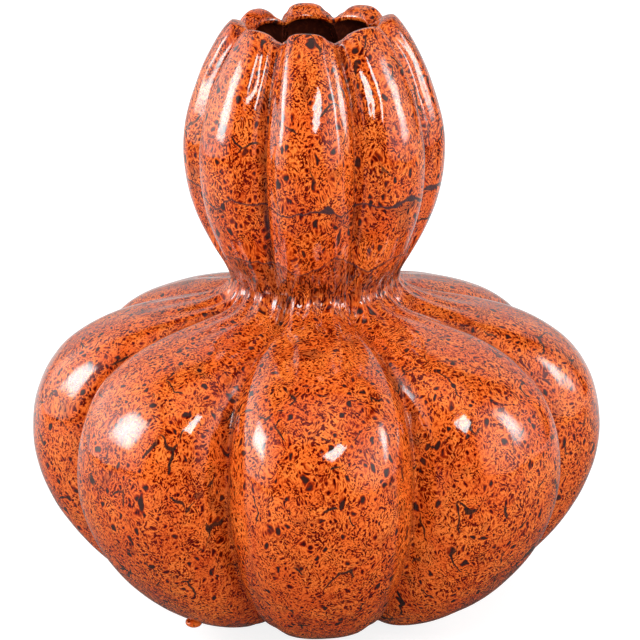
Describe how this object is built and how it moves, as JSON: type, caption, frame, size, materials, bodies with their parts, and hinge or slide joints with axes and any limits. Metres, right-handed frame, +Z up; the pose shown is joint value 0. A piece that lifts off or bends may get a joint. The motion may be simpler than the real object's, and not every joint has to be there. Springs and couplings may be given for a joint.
{
  "type": "lobed double-gourd vase",
  "caption": "Footed double-gourd vase with a wide lobed belly, a pinched waist, a smaller lobed bulb above and a scalloped mouth; holds water and cut flowers.",
  "frame": {"origin": "centre of the circle that the foot ring stands on, at the level of the ground", "axes": "+Z up along the vase's axis, -Y towards the viewer of the picture"},
  "size_m": [0.2848, 0.2848, 0.3],
  "materials": {
    "belly_glaze": "high gloss, orange with dense dark brown specks",
    "bulb_glaze": "high gloss, orange with dense dark brown specks",
    "drip_glaze": "high gloss, orange-red",
    "bare_clay": "matt unglazed stoneware"
  },
  "bodies": {
    "root": {"foot_ring": "bare_clay", "lower_gourd": "belly_glaze", "upper_gourd": "bulb_glaze", "glaze_drip": "drip_glaze"}
  },
  "joints": []
}
